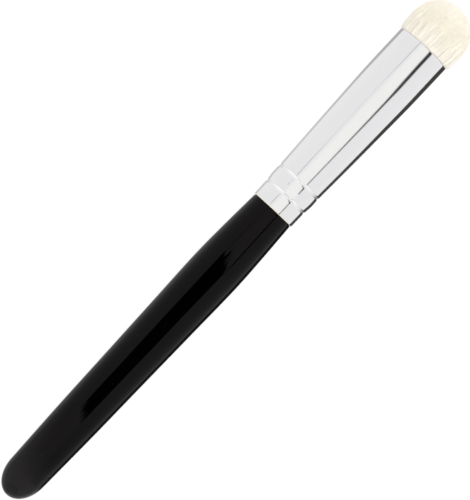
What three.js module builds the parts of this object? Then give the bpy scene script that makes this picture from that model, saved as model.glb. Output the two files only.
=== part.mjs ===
// A round stencil brush lying on its side: lacquered handle, crimped metal ferrule and a dome of soft hair.
// Millimetres, +Z up. The brush's axis runs along X, with the butt of the handle at -X and the hair at +X.
import * as THREE from 'three';

// Driving dimensions. Stations along the brush are measured from the butt of the handle.
const LENGTH = 160;
const REACH = 7.96; // the widest radius, which is the hair's
const SIDES = 32; // flats round each turned shape, one of them facing down

const NOSE_LENGTH = 7.3;
const NOSE_RADIUS = 5.21;
const NOSE_SWEEP = THREE.MathUtils.degToRad(88);
const HANDLE_SWELL = [
  [24, 5.66], [41.3, 5.94], [58.7, 6.24], [73.2, 6.48], [83.3, 6.23], [93.6, 5.76],
]; // [station, radius] from behind the nose to the shoulder
const SWELL_POINTS = 20;
const NOSE_STEPS = 9;
const SHOULDER = 93.9;
const SHOULDER_EASE = 0.12; // how much the lacquered edge is rounded over beside the ferrule
const TENON_END = 107;
const TENON_CHAMFER = 0.8;

const FERRULE_START = 94;
const FERRULE_MOUTH = 147.2;
const FERRULE_WALL = 0.35;
const FERRULE_LIP = 0.08; // how far the cut edges are eased
const FERRULE_TAPER = [
  [94, 6.0], [98.45, 6.04], [101, 6.32], [103.2, 6.23], [104.4, 6.3], [113.1, 6.61], [125.2, 6.97],
  [134.8, 7.22], [144.6, 7.26], [147.2, 7.26],
]; // [station, outer radius], with the low bead between the two crimps
const CRIMPS = [98.45, 103.2];
const CRIMP_DEPTH = 0.16;
const CRIMP_HALF_WIDTH = 0.38;

const PLAY = 0.06; // the gap that separate pieces keep all round
const GLUE_THICKNESS = 0.18;
const GLUE_START = 94.8;
const GLUE_END = 106;

const ROOT_END = 115;
const ROOT_RADIUS = 5.3;
const ROOT_EASE = 0.4; // rounding of the root's cut end
const ROOT_SPREAD = 129; // where the root has grown to fill the ferrule
const BINDING_START = 118;
const THREAD = 0.62;
const THREAD_TURNS = 8;
const WAIST_RADIUS = 5.0;
const WAIST_SLOPE = 0.5; // how far along the root takes to step down into its waist
const RESIN_BACK = 111;
const RESIN_FLOOR = 114.6;
const RESIN_FRONT = 126.2;
const RESIN_STEP = 0.2; // the slope between the resin's bore behind the binding and the wider one round it
const RESIN_NECK_RADIUS = 6.1; // the bore of the resin where the root starts to spread

const HAIR_WIDEST = 151.2;
const FLARE_STEPS = 5;
const DOME_STEPS = 9;
const DOME_POWER = 2.2; // a little squarer than an ellipse

const BINDING_END = BINDING_START + THREAD * THREAD_TURNS;

// Radius at a station, along straight lines between [station, radius] pairs.
function along(pairs, x) {
  const after = pairs.findIndex(([station]) => station >= x);
  if (after <= 0) return after === 0 ? pairs[0][1] : pairs.at(-1)[1];
  const [x0, r0] = pairs[after - 1];
  const [x1, r1] = pairs[after];
  return THREE.MathUtils.mapLinear(x, x0, x1, r0, r1);
}

// How far the rolled crimps push the wall in at a station: a rounded groove at each.
function crimpDip(x) {
  const nearest = Math.min(...CRIMPS.map((crimp) => Math.abs(x - crimp)));
  const share = Math.min(nearest / CRIMP_HALF_WIDTH, 1);
  return CRIMP_DEPTH * Math.cos((share * Math.PI) / 2);
}

const ferruleOuter = (x) => along(FERRULE_TAPER, x) - crimpDip(x);
const ferruleInner = (x) => ferruleOuter(x) - FERRULE_WALL;

// The stations at which a surface beside the crimps needs a point, between two ends.
function crimpStations(from, to) {
  const steps = [-1, -0.6, 0, 0.6, 1].map((step) => step * CRIMP_HALF_WIDTH);
  const grooves = CRIMPS.flatMap((crimp) => steps.map((step) => crimp + step));
  const bead = (CRIMPS[0] + CRIMPS[1]) / 2;
  const inside = [...grooves, bead].filter((x) => x > from && x < to);
  return [from, ...inside, to].sort((a, b) => a - b);
}

const point = (x, r) => new THREE.Vector2(r, x - LENGTH / 2);
const surface = (stations, radiusAt) => stations.map((x) => point(x, radiusAt(x)));

// A named mesh turned about the brush's axis from an outline of (radius, station) points.
function turned(name, outline, look) {
  const geometry = new THREE.LatheGeometry(outline, SIDES, Math.PI / SIDES);
  const mesh = new THREE.Mesh(geometry, new THREE.MeshStandardMaterial(look));
  mesh.name = name;
  mesh.rotation.z = -Math.PI / 2;
  return mesh;
}

// A ring closes on itself: out along its outer surface, and back along its inner one.
function ring(outer, inner) {
  const outline = [...outer, ...inner.toReversed()];
  return [...outline, outline[0].clone()];
}

// Tenon and glue follow the ferrule's inner wall, so the crimps bite into both.
const glueOuter = (x) => Math.min(ferruleInner(FERRULE_START) - crimpDip(x), ferruleInner(x)) - PLAY;
const glueInner = (x) => glueOuter(x) - GLUE_THICKNESS;
const tenonRadius = (x) => glueInner(x) - PLAY;

// The handle: a blunt round nose, a long slow swell, a shoulder at the ferrule and the tenon beyond it.
function handle() {
  const nose = [];
  for (let i = 0; i <= NOSE_STEPS; i++) {
    const turn = (NOSE_SWEEP * i) / NOSE_STEPS;
    nose.push(point(NOSE_LENGTH * (1 - Math.cos(turn)), i === 0 ? 0 : NOSE_RADIUS * Math.sin(turn)));
  }
  const swell = new THREE.SplineCurve([nose.at(-1), ...HANDLE_SWELL.map(([x, r]) => point(x, r))]);
  const tenonTip = TENON_END - TENON_CHAMFER;
  return turned('handle', [
    ...nose,
    ...swell.getPoints(SWELL_POINTS).slice(1),
    point(SHOULDER, HANDLE_SWELL.at(-1)[1] - SHOULDER_EASE),
    ...surface(crimpStations(SHOULDER, tenonTip), tenonRadius),
    point(TENON_END, tenonRadius(tenonTip) - TENON_CHAMFER),
    point(TENON_END, 0),
  ], { color: 0x0b0a0b, roughness: 0.12, metalness: 0 });
}

// The ferrule: one thin tube, rolled into two crimps over the tenon and flaring to the mouth.
function ferrule() {
  const cone = FERRULE_TAPER.map(([x]) => x).filter((x) => x > CRIMPS[1] && x < FERRULE_MOUTH);
  const start = FERRULE_START + FERRULE_LIP;
  const mouth = FERRULE_MOUTH - FERRULE_LIP;
  const stations = [...crimpStations(start, cone[0]), ...cone.slice(1), mouth];
  const eased = (x, r, way) => point(x, r + way * FERRULE_LIP);
  return turned('ferrule', ring(
    [
      eased(FERRULE_START, ferruleOuter(start), -1),
      ...surface(stations, ferruleOuter),
      eased(FERRULE_MOUTH, ferruleOuter(mouth), -1),
    ],
    [
      eased(FERRULE_START, ferruleInner(start), 1),
      ...surface(stations, ferruleInner),
      eased(FERRULE_MOUTH, ferruleInner(mouth), 1),
    ],
  ), { color: 0xdcdce0, roughness: 0.14, metalness: 1 });
}

// The hair: a root that is waisted by its binding, fills the ferrule, flares at the mouth and ends in a dome.
function hairBundle() {
  const fill = (x) => ferruleInner(x) - PLAY;
  const mouth = FERRULE_MOUTH;
  const flare = [];
  for (let i = 1; i <= FLARE_STEPS; i++) {
    const turn = (Math.PI / 2) * (i / FLARE_STEPS);
    const out = mouth + (HAIR_WIDEST - mouth) * (1 - Math.cos(turn));
    flare.push(point(out, fill(mouth) + (REACH - fill(mouth)) * Math.sin(turn)));
  }
  const dome = [];
  for (let i = 1; i <= DOME_STEPS; i++) {
    const turn = (Math.PI / 2) * (i / DOME_STEPS);
    const out = HAIR_WIDEST + (LENGTH - HAIR_WIDEST) * Math.sin(turn) ** (2 / DOME_POWER);
    dome.push(point(out, i === DOME_STEPS ? 0 : REACH * Math.cos(turn) ** (2 / DOME_POWER)));
  }
  return turned('hair_bundle', [
    point(ROOT_END, 0),
    point(ROOT_END, ROOT_RADIUS - ROOT_EASE),
    point(ROOT_END + ROOT_EASE, ROOT_RADIUS),
    point(BINDING_START - WAIST_SLOPE, ROOT_RADIUS),
    point(BINDING_START, WAIST_RADIUS),
    point(BINDING_END, WAIST_RADIUS),
    point(BINDING_END + WAIST_SLOPE, ROOT_RADIUS),
    ...surface([ROOT_SPREAD, 134.8, mouth], fill),
    ...flare,
    ...dome,
  ], { color: 0xf5efe0, roughness: 0.9, metalness: 0 });
}

// The binding: turns of waxed thread laid side by side in the root's waist.
function hairBinding() {
  const inside = WAIST_RADIUS + PLAY;
  const crown = inside + THREAD;
  const valley = inside + THREAD / 2; // where two turns touch
  const outer = [point(BINDING_START + PLAY, valley)];
  for (let turn = 0; turn < THREAD_TURNS; turn++) {
    const x = BINDING_START + THREAD * (turn + 0.5);
    outer.push(point(x, crown), point(x + THREAD / 2 - (turn === THREAD_TURNS - 1 ? PLAY : 0), valley));
  }
  const inner = [point(BINDING_START + PLAY, inside), point(BINDING_END - PLAY, inside)];
  return turned('hair_binding', ring(outer, inner), { color: 0xcdbf9c, roughness: 0.8, metalness: 0 });
}

// The setting resin: a cup that holds the root's end and the binding, and grips the ferrule's wall.
function rootAdhesive() {
  const wall = (x) => ferruleInner(x) - PLAY;
  const behind = ROOT_RADIUS + PLAY;
  const round = WAIST_RADIUS + THREAD + 2 * PLAY;
  return turned('root_adhesive', [
    point(RESIN_BACK, 0),
    ...surface([RESIN_BACK, 113.1, 125.2, RESIN_FRONT], wall),
    point(RESIN_FRONT, RESIN_NECK_RADIUS),
    point(BINDING_END + WAIST_SLOPE, round),
    point(BINDING_START - WAIST_SLOPE, round),
    point(BINDING_START - WAIST_SLOPE - RESIN_STEP, behind),
    point(RESIN_FLOOR, behind),
    point(RESIN_FLOOR, 0),
  ], { color: 0xb98a44, roughness: 0.25, metalness: 0 });
}

// The handle's glue: a thin sleeve between the tenon and the ferrule, squeezed in at the crimps.
function handleAdhesive() {
  const stations = crimpStations(GLUE_START, GLUE_END);
  return turned('handle_adhesive', ring(surface(stations, glueOuter), surface(stations, glueInner)),
    { color: 0xe4d3a0, roughness: 0.4, metalness: 0 });
}

const brush = new THREE.Group();
brush.add(handle(), ferrule(), hairBundle(), hairBinding(), rootAdhesive(), handleAdhesive());
brush.position.z = REACH * Math.cos(Math.PI / SIDES); // the widest flat touches Z = 0

export default brush;
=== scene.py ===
# %% [markdown]
# # A round stencil brush
# The brush lies on its side on a light table. It has a lacquered wooden handle, a bright metal ferrule with
# two rolled crimps, and a short dome of soft goat hair. The measured parts come ready made, as a fixed frame
# of plain turned solids. This lesson spins finer shapes on their outlines, gives each one a finish made of
# nodes, and then lights the brush. Lengths are in metres.

# %% Load the frame
import math
import random

import bmesh
import bpy
from mathutils import Matrix, Vector, geometry, noise


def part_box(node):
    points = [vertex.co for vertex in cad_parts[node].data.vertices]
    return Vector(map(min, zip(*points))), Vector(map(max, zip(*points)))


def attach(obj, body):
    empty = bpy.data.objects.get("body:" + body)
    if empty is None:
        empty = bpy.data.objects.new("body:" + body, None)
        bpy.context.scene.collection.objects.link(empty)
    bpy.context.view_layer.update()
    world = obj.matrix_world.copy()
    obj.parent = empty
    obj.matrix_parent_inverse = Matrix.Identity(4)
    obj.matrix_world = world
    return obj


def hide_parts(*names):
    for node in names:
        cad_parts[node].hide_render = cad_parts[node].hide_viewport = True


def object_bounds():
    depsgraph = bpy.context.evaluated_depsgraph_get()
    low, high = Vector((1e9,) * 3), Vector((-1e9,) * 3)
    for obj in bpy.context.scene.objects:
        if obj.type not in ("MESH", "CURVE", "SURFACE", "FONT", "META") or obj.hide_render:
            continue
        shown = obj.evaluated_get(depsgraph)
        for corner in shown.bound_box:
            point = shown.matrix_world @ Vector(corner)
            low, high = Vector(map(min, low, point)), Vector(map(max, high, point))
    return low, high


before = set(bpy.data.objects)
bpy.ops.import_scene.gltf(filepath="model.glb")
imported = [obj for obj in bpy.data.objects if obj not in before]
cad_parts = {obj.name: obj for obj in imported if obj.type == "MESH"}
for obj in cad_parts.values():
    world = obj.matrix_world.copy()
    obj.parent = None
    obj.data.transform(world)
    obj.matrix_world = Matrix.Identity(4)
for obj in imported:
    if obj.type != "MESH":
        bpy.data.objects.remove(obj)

MM = 0.001
cad_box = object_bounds()
low, high = Vector(cad_box[0]), Vector(cad_box[1])
AXIS = (low.z + high.z) / 2  # the height of the brush's own axis above the table
print("brush", [round(side / MM, 2) for side in high - low], "mm, axis at", round(AXIS / MM, 3), "mm")

# %% [markdown]
# Every hard piece of a round brush is turned, so one outline says all there is about it. An outline could be
# drawn again by hand, but reading it from the measured part keeps each new piece exactly where the old one
# was. A corner's distance from the axis is its radius, and its X is its station along the brush.

# %% Read an outline
def outline(node):
    """The (station, radius) corners of a turned part, from the butt to the hair."""
    corners = {(round(v.co.x, 6), round(math.hypot(v.co.y, v.co.z - AXIS), 6))
               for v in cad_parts[node].data.vertices}
    line = []
    for corner in sorted(corners, key=lambda corner: (corner[0], -corner[1])):
        if not line or (Vector(corner) - line[-1]).length > 0.004 * MM:
            line.append(Vector(corner))
    return line


def walls(node):
    """The outer and the inner outline of a tube."""
    outer, inner = {}, {}
    for station, radius in outline(node):
        outer[station] = max(radius, outer.get(station, 0))
        inner[station] = min(radius, inner.get(station, 1))
    return [Vector(p) for p in outer.items()], [Vector(p) for p in inner.items()]


handle_line = outline("handle")
ferrule_outer, ferrule_inner = walls("ferrule")
hair_line = outline("hair_bundle")
print("corners:", len(handle_line), "handle,", len(ferrule_outer), "ferrule,", len(hair_line), "hair")

# %% [markdown]
# The measured outlines are chains of short straight lines, and polish shows every corner. A Subdivision
# Surface modifier could round them but would shrink the thin rolled crimps. Here each corner gets a pair of
# curve handles instead, no longer than a third of the shorter line beside it. The curve still goes through
# every measured corner, and a long gentle line isn't bulged by a tight groove next to it.

# %% Ease an outline
def eased(points, steps=5):
    spans = [end - start for start, end in zip(points, points[1:])]
    ways = [(a.normalized() + b.normalized()).normalized() for a, b in zip(spans, spans[1:])]
    reaches = [min(a.length, b.length) / 3 for a, b in zip(spans, spans[1:])]
    ways = [spans[0].normalized(), *ways, spans[-1].normalized()]
    reaches = [spans[0].length / 3, *reaches, spans[-1].length / 3]
    curve = [points[0]]
    for i, (start, end) in enumerate(zip(points, points[1:])):
        leave = start + ways[i] * reaches[i]
        arrive = end - ways[i + 1] * reaches[i + 1]
        curve += geometry.interpolate_bezier(start, leave, arrive, end, steps + 1)[1:]
    return curve


def radius_at(points, station):
    """The radius of an outline at a station, along straight lines."""
    for start, end in zip(points, points[1:]):
        if start.x <= station <= end.x and end.x > start.x:
            return start.y + (end.y - start.y) * (station - start.x) / (end.x - start.x)
    return points[-1].y if station > points[-1].x else points[0].y

# %% [markdown]
# The Spin operator is a lathe. It carries a line of edges round an axis and leaves faces behind. For a full
# turn, use_merge welds the last step to the first. Corners that lie on the axis are then welded into one
# pole, and only after that are the normals recalculated, so that all faces point outwards.

# %% The lathe
LATHE_STEPS = 144


def keep(bm, name, sharp=35):
    """Turns a finished bmesh into an object in the scene."""
    mesh = bpy.data.meshes.new(name)
    bm.to_mesh(mesh)
    bm.free()
    mesh.shade_smooth()
    mesh.set_sharp_from_angle(angle=math.radians(sharp))
    piece = bpy.data.objects.new(name, mesh)
    bpy.context.scene.collection.objects.link(piece)
    print(name, len(mesh.polygons), "faces")
    return piece


def turned(name, line, closed=False, sharp=35):
    bm = bmesh.new()
    corners = [bm.verts.new((station, 0, AXIS + radius)) for station, radius in line]
    pairs = list(zip(corners, corners[1:])) + ([(corners[-1], corners[0])] if closed else [])
    edges = [bm.edges.new(pair) for pair in pairs]
    bmesh.ops.spin(bm, geom=corners + edges, cent=(0, 0, AXIS), axis=(1, 0, 0), steps=LATHE_STEPS,
                   angle=math.tau, use_merge=True)
    bmesh.ops.remove_doubles(bm, verts=bm.verts, dist=0.002 * MM)
    bmesh.ops.recalc_face_normals(bm, faces=bm.faces)
    return keep(bm, name, sharp)


def fit(piece, finish, slot, *nodes):
    """Gives a piece its finish and its place on the brush, and hides the measured parts that it stands for.
    """
    piece.data.materials.clear()
    piece.data.materials.append(finish.material)
    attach(piece, "root")
    if nodes:
        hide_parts(*nodes)
    return piece

# %% [markdown]
# A finish is a small network of shader nodes. Clicking it together is slow to read back, so these two
# classes write it as sums. A Value is one number that changes over a surface, and adding or multiplying
# Values adds Math nodes. Finish.node makes any other node from its settings and its sockets.

# %% Values and finishes
class Value:
    def __init__(self, finish, socket):
        self.finish, self.socket = finish, socket

    def math(self, operation, *others):
        """This value in a Math node, with the others that the operation takes."""
        return self.finish.node("Math", {"operation": operation}, dict(enumerate((self, *others))))

    def __add__(self, other):
        return self.math("ADD", other)

    def __sub__(self, other):
        return self.math("SUBTRACT", other)

    def __rsub__(self, other):
        return self.math("MULTIPLY", -1.0) + other

    def __mul__(self, other):
        return self.math("MULTIPLY", other)

    def __truediv__(self, other):
        return self.math("DIVIDE", other)

    __radd__, __rmul__ = __add__, __mul__

    def rise(self, start, end):
        """0 before start, 1 after end, and a soft step between."""
        return self.finish.node("MapRange", {"interpolation_type": "SMOOTHSTEP"},
                                {0: self, 1: start, 2: end, 3: 0.0, 4: 1.0})


class Finish:
    def __init__(self, name):
        self.material = bpy.data.materials.new(name)
        self.material.use_nodes = True
        self.tree = self.material.node_tree
        self.tree.nodes.clear()

    def node(self, kind, settings={}, sockets={}, output=0):
        made = self.tree.nodes.new("ShaderNode" + kind)
        for name, setting in settings.items():
            setattr(made, name, setting)
        for name, given in sockets.items():
            if isinstance(given, Value):
                self.tree.links.new(given.socket, made.inputs[name])
            else:
                made.inputs[name].default_value = given
        return Value(self, made.outputs[output])

    def place(self, stretch=(1, 1, 1)):
        """Object coordinates about the brush's axis in millimetres, each divided by its stretch."""
        here = self.node("TexCoord", output=3)
        scale = [1 / (MM * share) for share in stretch]
        return self.node("Mapping", {}, {0: here, 1: (0, 0, -AXIS * scale[2]), 3: scale})

    def parts(self, vector):
        split = self.node("SeparateXYZ", {}, {0: vector}).socket.node
        return [Value(self, socket) for socket in split.outputs]

    def noise(self, where, scale=1.0, detail=2.0, roughness=0.5):
        return self.node("TexNoise", {}, {"Vector": where, "Scale": scale, "Detail": detail,
                                          "Roughness": roughness})

    def mix(self, share, first, second):
        """One colour fading into another."""
        colours = [(*c, 1) if isinstance(c, tuple) else c for c in (first, second)]
        return self.node("Mix", {"data_type": "RGBA"}, {0: share, 6: colours[0], 7: colours[1]}, output=2)

    def bump(self, height, depth, strength=1.0):
        """A Normal from a height that is 0 to 1, over a depth in metres."""
        return self.node("Bump", {}, {"Height": height, "Distance": depth, "Strength": strength})

    def principled(self, sockets):
        self.node_output(self.node("BsdfPrincipled", {}, sockets))

    def node_output(self, shader):
        output = self.tree.nodes.new("ShaderNodeOutputMaterial")
        self.tree.links.new(shader.socket, output.inputs[0])

# %% [markdown]
# The handle is a stick of beech, turned on a lathe, dipped in black lacquer and hung by its tenon to dry. The
# dip leaves a smooth skin that follows the wood in long slow waves, with a few specks of dust. Its tenon
# stays bare, because glue holds on wood and not on lacquer. The skin could be a second shell, but it is
# thinner than a hair, so one shape carries both, and the finish changes at the shoulder.

# %% Turn the handle
shoulder = next(i for i, (a, b) in enumerate(zip(handle_line, handle_line[1:]))
                if b.x - a.x < 0.002 * MM and a.y - b.y > 0.1 * MM)
SHOULDER = handle_line[shoulder].x
lacquered = eased(handle_line[:shoulder + 1], 4)
handle = turned("lacquered_handle", lacquered + handle_line[shoulder + 1:])
print("shoulder at", round(SHOULDER / MM, 2), "mm")

# %% Black lacquer over beech
lacquer = Finish("black_lacquer")
spot = lacquer.place()
along, across, up = lacquer.parts(spot)
grain = lacquer.noise(lacquer.place((9, 0.5, 0.5)), 1.0, 5.0, 0.6)
bare = along.rise(SHOULDER / MM - 0.02, SHOULDER / MM + 0.02)
warmth = along.rise(SHOULDER / MM - 10, SHOULDER / MM) * 0.5
specks = lacquer.noise(spot, 2.3, 1.0).rise(0.79, 0.82)
clouds = lacquer.noise(lacquer.place((6, 2, 2)), 1.0, 3.0)
black = lacquer.mix(warmth, (0.0004, 0.0003, 0.0003), (0.0012, 0.0007, 0.0004))
# Painted sheen: the lacquer is made lighter towards the butt, standing in for the brighter reflection seen
# there.
butt_painted_sheen = 1 - along.rise(low.x / MM + 3, low.x / MM + 15)
black = lacquer.mix(butt_painted_sheen * (0.5 + clouds), black, (0.0072, 0.0067, 0.0068))
black = lacquer.mix(specks, black, (0.05, 0.046, 0.04))
beech = lacquer.mix(grain, (0.50, 0.31, 0.17), (0.66, 0.45, 0.27))
sag = lacquer.noise(lacquer.place((14, 5, 5)), 1.0, 1.0)
lacquer.principled({
    "Base Color": lacquer.mix(bare, black, beech),
    "Roughness": (0.03 + clouds * 0.04) * (1 - bare) + 0.6 * bare,
    "Specular IOR Level": 0.125,
    "Specular Tint": (1.0, 0.93, 0.96, 1),
    "Normal": lacquer.bump(sag + grain * bare * 0.1, 0.03 * MM),
})
fit(handle, lacquer, "black_lacquer", "handle")

# %% [markdown]
# The ferrule is one tube, drawn thin, tapered over a mandrel, plated, slid over the glued tenon and then
# rolled between two wheels that press the crimps in. Drawing leaves scratches finer than a hair along the
# tube, the wheels rub the crimps a little dull, and the cut end shows brass under the plating. The outline
# goes out along the outer wall and back along the inner one, so the wall is as thin as a real one. The finish
# finds the crimps by their station and turns up the roughness there, which needs no second material.

# %% Turn the ferrule
tube = eased(ferrule_outer) + eased(ferrule_inner)[::-1]
ferrule = turned("crimped_ferrule", tube, closed=True, sharp=60)
START, MOUTH = ferrule_outer[0].x, ferrule_outer[-1].x
crimps = [b.x for a, b, c in zip(ferrule_outer, ferrule_outer[1:], ferrule_outer[2:]) if b.y < min(a.y, c.y)]
print("ferrule", round((MOUTH - START) / MM, 2), "mm long, crimps at", [round(x / MM, 2) for x in crimps])

# %% Bright plating
plating = Finish("bright_plating")
along, across, up = plating.parts(plating.place())
drawn = plating.noise(plating.place((30, 0.06, 0.06)), 1.0, 3.0, 0.6)
ripple = plating.noise(plating.place((22, 2.2, 2.2)), 1.0, 1.0)
mist = plating.noise(plating.place((5, 2, 2)), 1.0, 3.0)
cut = 1 - (along - START / MM).rise(0.10, 0.20)
rubbed = sum(1 - (along - crimp / MM).math("ABSOLUTE").rise(0.15, 0.45) for crimp in crimps)
silver = plating.mix(mist, (0.835, 0.835, 0.84), (0.86, 0.86, 0.862))
plating.principled({
    "Base Color": plating.mix(cut, silver, (0.94, 0.915, 0.77)),
    "Metallic": 1.0,
    "Roughness": 0.06 + mist * 0.04 + drawn * 0.03 + cut * 0.3 + rubbed * 0.26,
    "Normal": plating.bump(ripple + drawn * 0.03, 0.012 * MM),
})
fit(ferrule, plating, "bright_plating", "ferrule")

# %% [markdown]
# Inside the ferrule, waxed thread binds the root of the hair before resin sets it. A thread could be a curve
# with thickness, but a spin can travel as it turns: with a small step along the axis at each move, a circle
# becomes a coil with a solid round section.

# %% Wind the thread
thread_low, thread_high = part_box("hair_binding")
TURNS, TURN_STEPS = 7, 40
thread_crown = max(radius for station, radius in outline("hair_binding"))
thread_inner = min(radius for station, radius in outline("hair_binding"))
thread_radius = (thread_crown - thread_inner) / 2
pitch = (thread_high.x - thread_low.x - 2 * thread_radius) / TURNS
bm = bmesh.new()
ring = bmesh.ops.create_circle(bm, segments=10, radius=thread_radius * 0.97, cap_ends=True)["verts"]
centre = Vector((thread_low.x + thread_radius, 0, AXIS + thread_inner + thread_radius))
bmesh.ops.rotate(bm, verts=ring, cent=(0, 0, 0), matrix=Matrix.Rotation(math.pi / 2, 3, "X"))
bmesh.ops.translate(bm, verts=ring, vec=centre)
bmesh.ops.spin(bm, geom=bm.verts[:] + bm.edges[:] + bm.faces[:], cent=(0, 0, AXIS), axis=(1, 0, 0),
               dvec=(pitch / TURN_STEPS, 0, 0), angle=math.tau * TURNS, steps=TURN_STEPS * TURNS)
bmesh.ops.remove_doubles(bm, verts=bm.verts, dist=0.001 * MM)
bmesh.ops.recalc_face_normals(bm, faces=bm.faces)
thread = keep(bm, "wound_thread", 50)

# %% Waxed thread
waxed = Finish("waxed_thread")
along, across, up = waxed.parts(waxed.place())
angle = across.math("ARCTAN2", up)
twist = (angle * 60 + along * 9).math("SINE") * 0.5 + 0.5
wax = waxed.noise(waxed.place(), 1.6, 3.0)
waxed.principled({
    "Base Color": waxed.mix(wax, (0.50, 0.40, 0.23), (0.70, 0.60, 0.40)),
    "Roughness": 0.55 + wax * 0.2,
    "Normal": waxed.bump(twist, 0.05 * MM),
})
fit(thread, waxed, "waxed_thread", "hair_binding")

# %% [markdown]
# Two pieces keep their measured shapes, because they are only ever seen inside the ferrule: the cup of amber
# resin that sets the root, and the thin sleeve of glue on the tenon. Both are clear enough to show small
# bubbles and clouds, which here are changes of colour and gloss.

# %% Resin and glue
def poured(name, pale, deep, gloss):
    finish = Finish(name)
    cloud = finish.noise(finish.place(), 0.45, 4.0)
    bubbles = finish.noise(finish.place(), 3.5, 0.0).rise(0.68, 0.74)
    finish.principled({
        "Base Color": finish.mix(bubbles * 0.5, finish.mix(cloud, deep, pale), pale),
        "Roughness": gloss + cloud * 0.15,
        "Normal": finish.bump(bubbles + cloud, 0.03 * MM),
    })
    return finish


for node, finish in [("root_adhesive", poured("setting_resin", (0.62, 0.36, 0.12), (0.34, 0.15, 0.03), 0.12)),
                     ("handle_adhesive", poured("wood_glue", (0.84, 0.73, 0.46), (0.68, 0.55, 0.29), 0.3))]:
    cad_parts[node].material_slots[0].material = finish.material
    print(node, "finished")

# %% [markdown]
# The hair is goat, the softest hair used in brushes. Cups shape the dome before the root is bound, so every
# tip is a natural one and none is cut. A particle system would be the usual tool, but particles don't export
# as a mesh. Here a solid core fills the bundle, and thousands of tapered hairs stand in it.

# %% The core of the bundle
mouth_hair = min(hair_line, key=lambda p: abs(p.x - MOUTH))
shown = [p for p in hair_line if p.x >= mouth_hair.x]
root = [p for p in hair_line if p.x < mouth_hair.x]
TIP = hair_line[-1].x
CORE_DEPTH = 0.25 * MM
widest = max(shown, key=lambda p: p.y)
dome = eased(shown, 6)


def sunk(point):
    """A point of the dome, moved in by the depth of loose hair over the core."""
    share = (point.x - MOUTH) / (TIP - MOUTH)
    return Vector((MOUTH + (TIP - CORE_DEPTH - MOUTH) * share, max(0, point.y * (1 - CORE_DEPTH / widest.y))))


root = sorted(root, key=lambda p: (p.x, p.y if p.x < root[0].x + 1e-6 else -p.y))
core = turned("hair_core", root + [sunk(p) for p in dome], sharp=180)

# %% [markdown]
# A hair's path is found by the share of the bundle's radius that it stands at. All shares widen together past
# the mouth, and each hair ends where it meets the dome. Hairs deep in the bundle show only their tips, so
# only their last few millimetres are made. The outer ones run all the way back into the ferrule.

# %% Comb the hairs
SEED = 17
random.seed(SEED)
noise.seed_set(SEED)  # mathutils' noise starts from the clock if it isn't given a seed
HAIRS, TUFTS = 30800, 7
HAIR_RADIUS = 0.057 * MM
FLOW_END = 8.05 * MM  # the outermost hair's distance from the axis, if it ran on to the tip
OUTER_SHARE = 0.82  # hairs that stand beyond this are seen along their whole length
INNER_LENGTH = 2.6 * MM  # how much is made of the others
RAGGED = 0.12 * MM  # how unevenly the tips end
STRAY_SHARE, STRAY_REACH = 0.05, 0.22 * MM
CLUMP = 0.22 * MM  # how far neighbouring hairs lean together


def flow(station):
    """How wide the bundle would be at a station if no hair ended."""
    if station < widest.x:
        share = max(0, (station - MOUTH) / (widest.x - MOUTH))
        return mouth_hair.y + (widest.y + 0.04 * MM - mouth_hair.y) * (2 * share - share ** 2) ** 0.28
    return widest.y + (FLOW_END - widest.y) * min(1, (station - widest.x) / (TIP - widest.x))


def tip_station(share):
    """Where a hair at this share of the radius comes out of the dome, found by halving."""
    near, far = widest.x - 1.5 * MM, TIP
    for _ in range(16):
        middle = (near + far) / 2
        inside = share * flow(middle) < radius_at(dome, middle) * (1 if middle > widest.x else 2)
        near, far = (middle, far) if inside else (near, middle)
    return near


def hair(turn, share):
    """The points of one hair."""
    stray = random.random() < STRAY_SHARE
    end = tip_station(share) + random.gauss(-0.05 * MM, RAGGED) + (STRAY_REACH if stray else 0)
    stations = [end - INNER_LENGTH * (1 - i / 3) for i in range(4)]
    if share > OUTER_SHARE:
        stations = [MOUTH - 0.6 * MM] + [MOUTH + (end - MOUTH) * (i / 6) ** 2.4 for i in range(7)]
    seat = Vector((share * 6 * math.cos(turn), share * 6 * math.sin(turn), 0))
    clump = noise.noise_vector(seat * 0.9) * CLUMP
    sway = Vector((random.gauss(0, 1), random.gauss(0, 1), 0)) * (0.28 if stray else 0.10) * MM
    wave = random.uniform(0, math.tau)
    points = []
    for station in stations:
        out = max(0, (station - MOUTH) / (TIP - MOUTH))
        radius = share * flow(station) - 0.02 * MM
        curl = 0.06 * MM * out * math.sin(wave + out * 7)
        y = radius * math.cos(turn) + (clump.x + sway.x) * out + curl
        z = radius * math.sin(turn) + (clump.y + sway.y) * out + curl
        points.append((station, y, AXIS + z))
    return points


def tuft(name, hairs):
    """Many hairs as one mesh: curves with a square section, each tapered to its tip."""
    curve = bpy.data.curves.new(name, "CURVE")
    curve.dimensions, curve.bevel_depth, curve.bevel_resolution = "3D", HAIR_RADIUS, 0
    curve.use_fill_caps = True
    for points in hairs:
        spline = curve.splines.new("POLY")
        spline.points.add(len(points) - 1)
        for i, (knot, place) in enumerate(zip(spline.points, points)):
            knot.co = (*place, 1)
            knot.radius = 1 - 0.4 * (i / (len(points) - 1)) ** 3
    guide = bpy.data.objects.new(name + "_guide", curve)
    bpy.context.scene.collection.objects.link(guide)
    mesh = bpy.data.meshes.new_from_object(guide.evaluated_get(bpy.context.evaluated_depsgraph_get()))
    bpy.data.objects.remove(guide)
    bpy.data.curves.remove(curve)
    mesh.shade_smooth()
    mesh.name = name
    piece = bpy.data.objects.new(name, mesh)
    bpy.context.scene.collection.objects.link(piece)
    print(name, len(hairs), "hairs,", sum(len(p.vertices) - 2 for p in mesh.polygons), "triangles")
    return piece


tufts = []
for number in range(TUFTS):
    sector = math.tau * number / TUFTS
    hairs = [hair(sector + random.random() * math.tau / TUFTS, math.sqrt(random.random()))
             for _ in range(HAIRS // TUFTS)]
    tufts.append(tuft(f"hair_tuft_{number + 1}", hairs))
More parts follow.
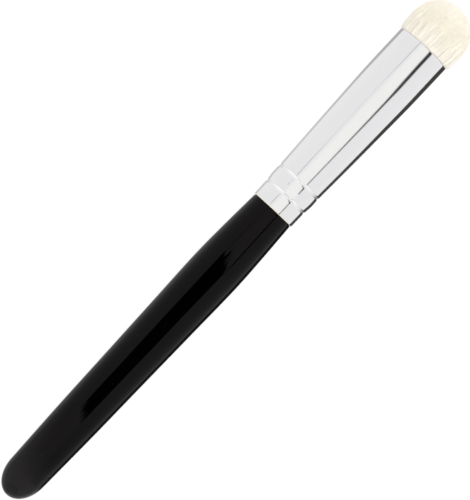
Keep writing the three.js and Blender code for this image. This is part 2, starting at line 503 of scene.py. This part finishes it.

# %% [markdown]
# Goat hair is cream with a faint gloss, and neighbouring hairs differ a little. A random colour for each hair
# would look like static. Real streaks are small groups of hairs that share a tone, so the noise is fine
# across the bundle and long along it. Light and shade are painted in as well: the hair is painted greyer near
# the ferrule, as painted shade between the tightly packed hairs, and painted paler at the thin tips, as
# painted light that stands in for light shining through them.

# %% Goat hair
goat = Finish("goat_hair")
streaks = goat.noise(goat.place((7, 0.45, 0.45)), 1.0, 3.0, 0.6)
drifts = goat.noise(goat.place((6, 2.6, 2.6)), 1.0, 1.0)
tone = (streaks * 0.65 + drifts * 0.35).rise(0.32, 0.68)
along, across, up = goat.parts(goat.place())
# Painted shade: the hair is made greyer near the ferrule, where shade falls between the packed hairs.
ferrule_painted_shade = 1 - along.rise(MOUTH / MM + 1, MOUTH / MM + 7)
# Painted light: the tips are made paler, standing in for light that passes through thin hair.
tip_painted_glow = along.rise(TIP / MM - 7, TIP / MM - 1)
cream = goat.mix(tone, (0.92, 0.872, 0.765), (0.95, 0.918, 0.822))
cream = goat.mix(ferrule_painted_shade, cream, goat.mix(tone, (0.855, 0.812, 0.73), (0.905, 0.868, 0.785)))
cream = goat.mix(tip_painted_glow * 0.8, cream, goat.mix(tone, (0.945, 0.905, 0.825), (0.985, 0.965, 0.915)))
goat.principled({
    "Base Color": cream,
    "Roughness": 0.45 + streaks * 0.2,
    "Specular IOR Level": 0.3,
    "Normal": goat.bump(goat.noise(goat.place((6, 0.12, 0.12)), 1.0, 2.0), 0.04 * MM, 0.6),
})
fit(core, goat, "goat_hair", "hair_bundle")
for piece in tufts:
    fit(piece, goat, "goat_hair")
print("hair finished")

# %% [markdown]
# Polished metal and lacquer show their surroundings more than themselves, so the surroundings are built with
# the same care as the brush. The table glows evenly and makes the ground pure white. Cards that lie on it put
# a dark line along one edge of the metal and a grey one along the other. Painting those lines on the metal
# would be wrong, because they belong to the room and move when the brush does. So the cards, like everything
# else that arches over the brush, only show in reflections.

# %% The glowing table
def glowing(name, colour):
    """A finish that gives out light. The colour is made by a function from the finish itself."""
    finish = Finish(name)
    finish.node_output(finish.node("Emission", {}, {"Color": colour(finish), "Strength": 1.0}))
    return finish


def sheet(name, x, y, height, finish):
    bm = bmesh.new()
    corners = bmesh.ops.create_grid(bm, x_segments=1, y_segments=1, size=0.5)["verts"]
    bmesh.ops.scale(bm, verts=corners, vec=(x[1] - x[0], y[1] - y[0], 1))
    bmesh.ops.translate(bm, verts=corners, vec=(sum(x) / 2, sum(y) / 2, height))
    made = keep(bm, name)
    made.data.materials.append(finish.material)
    return made


def only_reflected(thing):
    thing.visible_camera = thing.visible_diffuse = thing.visible_shadow = False
    thing.visible_transmission = thing.visible_volume_scatter = False


table = Finish("light_table")
table.principled({"Base Color": (0.15, 0.15, 0.15, 1), "Roughness": 0.9, "Specular IOR Level": 0.0,
                  "Emission Color": (1, 1, 1, 1), "Emission Strength": 0.89})
sheet("light_table", (-3, 3), (-3, 3), -0.0002, table)


def under_glow(finish):
    """What the table shows in the metal's edges: a dark card near one side, a grey one near the other."""
    along, across, up = finish.parts(finish.place())
    near_dark = (across + along.rise(25, 70) * 7).rise(-21.5, -19) * (1 - across.rise(-1, 0))
    near_grey = across.rise(0, 1) * (1 - (across - along.rise(40, 70) * 3).rise(15.5, 18.5))
    grey = finish.mix(along.rise(30, 65), (0.66, 0.655, 0.65), (0.49, 0.485, 0.48))
    dark = finish.mix(across.rise(-15, -7), (0.055, 0.052, 0.046), (0.13, 0.12, 0.115))
    pale = finish.mix(near_grey, (0.94, 0.94, 0.95), grey)
    return finish.mix(near_dark * along.rise(-79, -74), pale, dark)


only_reflected(sheet("table_cards", (-0.4, 0.4), (-0.4, 0.4), -0.0001, glowing("table_cards", under_glow)))

# %% [markdown]
# A tent of white cloth over the brush fills the metal with light. Its crown is a little brighter than its
# sides, and its two seams draw the thin lines down the ferrule. The cloth is a little more than a half tube,
# spun from a single edge. Its finish works with the angle round the brush, because a mirror-like tube shows
# each line of the cloth as one line along itself.

# %% The tent
TENT_RADIUS = 180 * MM
BROAD_SEAM, FAINT_SEAM = -35.1, 27  # degrees round the brush from straight above it


def tent_cloth(finish):
    """White cloth: a brighter crown, dimmer sides, and a seam at each side of the crown."""
    along, across, up = finish.parts(finish.place())
    angle = across.math("ARCTAN2", up) * (180 / math.pi)
    crown = angle.rise(-36, -34) * (1 - angle.rise(6, 24))
    cloth = finish.mix(crown, (0.928, 0.926, 0.936), (1.015, 1.01, 0.997))
    fray = finish.noise(finish.place((22, 22, 22)), 1.0, 3.0, 0.6) * 14
    open_end = (1 - (along - across * 0.08 + fray).rise(-104, -79)) + along.rise(95, 120) * 0.3
    cloth = finish.mix(open_end, cloth, (1.32, 1.31, 1.3))
    shaded = (1 - angle.rise(-26, -22)) * (along + fray * 0.6).rise(-101, -98)
    cloth = finish.mix(shaded * (1 - along.rise(-80, -50)) * 0.13, cloth, (0.3, 0.3, 0.3))
    width = 2.9 + along.rise(20, 90) * 3.5 + along.rise(58, 65) * 1.6
    away = (angle - BROAD_SEAM - along.rise(58, 84) * 3.6).math("ABSOLUTE") / width
    seam = (1 - away.rise(0.5, 1.3)) * (0.72 + 0.28 * along.rise(24, 70)) * along.rise(6, 14)
    cloth = finish.mix(seam, cloth, (0.03, 0.03, 0.03))
    away = (angle - FAINT_SEAM + along.rise(55, 84) * 3.5).math("ABSOLUTE")
    faint = (1 - away.rise(0.5, 2.2)) * (0.14 + 0.5 * (1 - along.rise(16, 40)) + 0.5 * along.rise(60, 84))
    return finish.mix(faint * along.rise(6, 14), cloth, (0.1, 0.1, 0.1))


bm = bmesh.new()
foot = Vector((0, math.sin(math.radians(-92)), math.cos(math.radians(-92)))) * TENT_RADIUS
ends = [bm.verts.new((x, foot.y, AXIS + foot.z)) for x in (-0.35, 0.35)]
hem = bm.edges.new(ends)
bmesh.ops.spin(bm, geom=[*ends, hem], cent=(0, 0, AXIS), axis=(-1, 0, 0), angle=math.radians(184), steps=96)
tent = keep(bm, "light_tent")
tent.data.materials.append(glowing("tent_cloth", tent_cloth).material)
only_reflected(tent)

# %% [markdown]
# A black card hangs low over the handle, and its reflection is the long black streak down the lacquer. Black
# lacquer is easiest to read when something darker than the tent lies in it. The card's ragged torn ends give
# the streak its fingers, and the cord that holds it makes the thin line between the streak and the ferrule.

# %% The black card over the handle
CARD_HEIGHT = 17 * MM
card = Finish("black_card")
along, across, up = card.parts(card.place())
fray = card.noise(card.place((9, 1.3, 1.3)), 1.0, 3.0, 0.6) * 2 - 1
left = (along - across * 0.22 + fray * 6).rise(-54.8, -53)
finger = (1 - (across - 2.3).math("ABSOLUTE").rise(1.3, 1.7)) * 2
right = 1 - (along - across * 0.22 + fray * 7 - finger).rise(-2.6, -1.8)
lean = across + (along + 52) * 0.014
inside = 1 - (lean.math("ABSOLUTE") / (8.65 + along * 0.022 + fray * 0.3)).rise(0.97, 1.03)
clear = card.node("BsdfTransparent")
black = card.node("Emission", {}, {"Color": (0.0, 0.0, 0.0, 1)})
cord = (1 - (across + 9.9).math("ABSOLUTE").rise(0.5, 1.1)) * along.rise(-6, -1)
cord = cord * (1 - along.rise(13.8, 14.2))
card.node_output(card.node("MixShader", {}, {0: left * right * inside + cord, 1: clear, 2: black}))
only_reflected(sheet("black_card", (-75 * MM, 16 * MM), (-12 * MM, 12 * MM), AXIS + CARD_HEIGHT, card))

# %% [markdown]
# The world is plain white and lights the hair from all round. One broad lamp beyond the tip keeps the dome
# from looking flat. It is left out of reflections, because its square would show in the lacquer. Pale hair
# glows because light bounces many times between the hairs before it leaves, and the usual limit of four
# bounces would turn the dome grey from the end. So more of them are followed.

# %% World and lamp
world = bpy.data.worlds.new("white_room")
world.use_nodes = True
world.node_tree.nodes["Background"].inputs[0].default_value = (1, 1, 1, 1)
world.node_tree.nodes["Background"].inputs[1].default_value = 1.0
bpy.context.scene.world = world
bpy.context.scene.cycles.diffuse_bounces = 12

lamp = bpy.data.lights.new("broad_lamp", "AREA")
lamp.size, lamp.energy = 0.5, 2.8
lamp_stand = bpy.data.objects.new("broad_lamp", lamp)
lamp_stand.location = (0.42, -0.08, 0.72)
lamp_stand.rotation_euler = (Vector((0, 0, 0)) - lamp_stand.location).to_track_quat("-Z", "Y").to_euler()
lamp_stand.visible_glossy = False
bpy.context.scene.collection.objects.link(lamp_stand)

# %% [markdown]
# The camera looks straight down from most of a metre away, turned so that the brush runs from one corner of
# the frame to the other. A long lens keeps the sides of the brush nearly parallel.

# %% Camera
view = bpy.data.cameras.new("camera")
view.lens, view.sensor_width, view.clip_end = 216.1, 36, 20
camera = bpy.data.objects.new("camera", view)
camera.location = (0.713 * MM, 0.047 * MM, AXIS + 724 * MM)
camera.rotation_euler = (0, 0, math.radians(-46.94))
bpy.context.scene.collection.objects.link(camera)
bpy.context.scene.camera = camera
bpy.context.scene.view_settings.view_transform = "Standard"
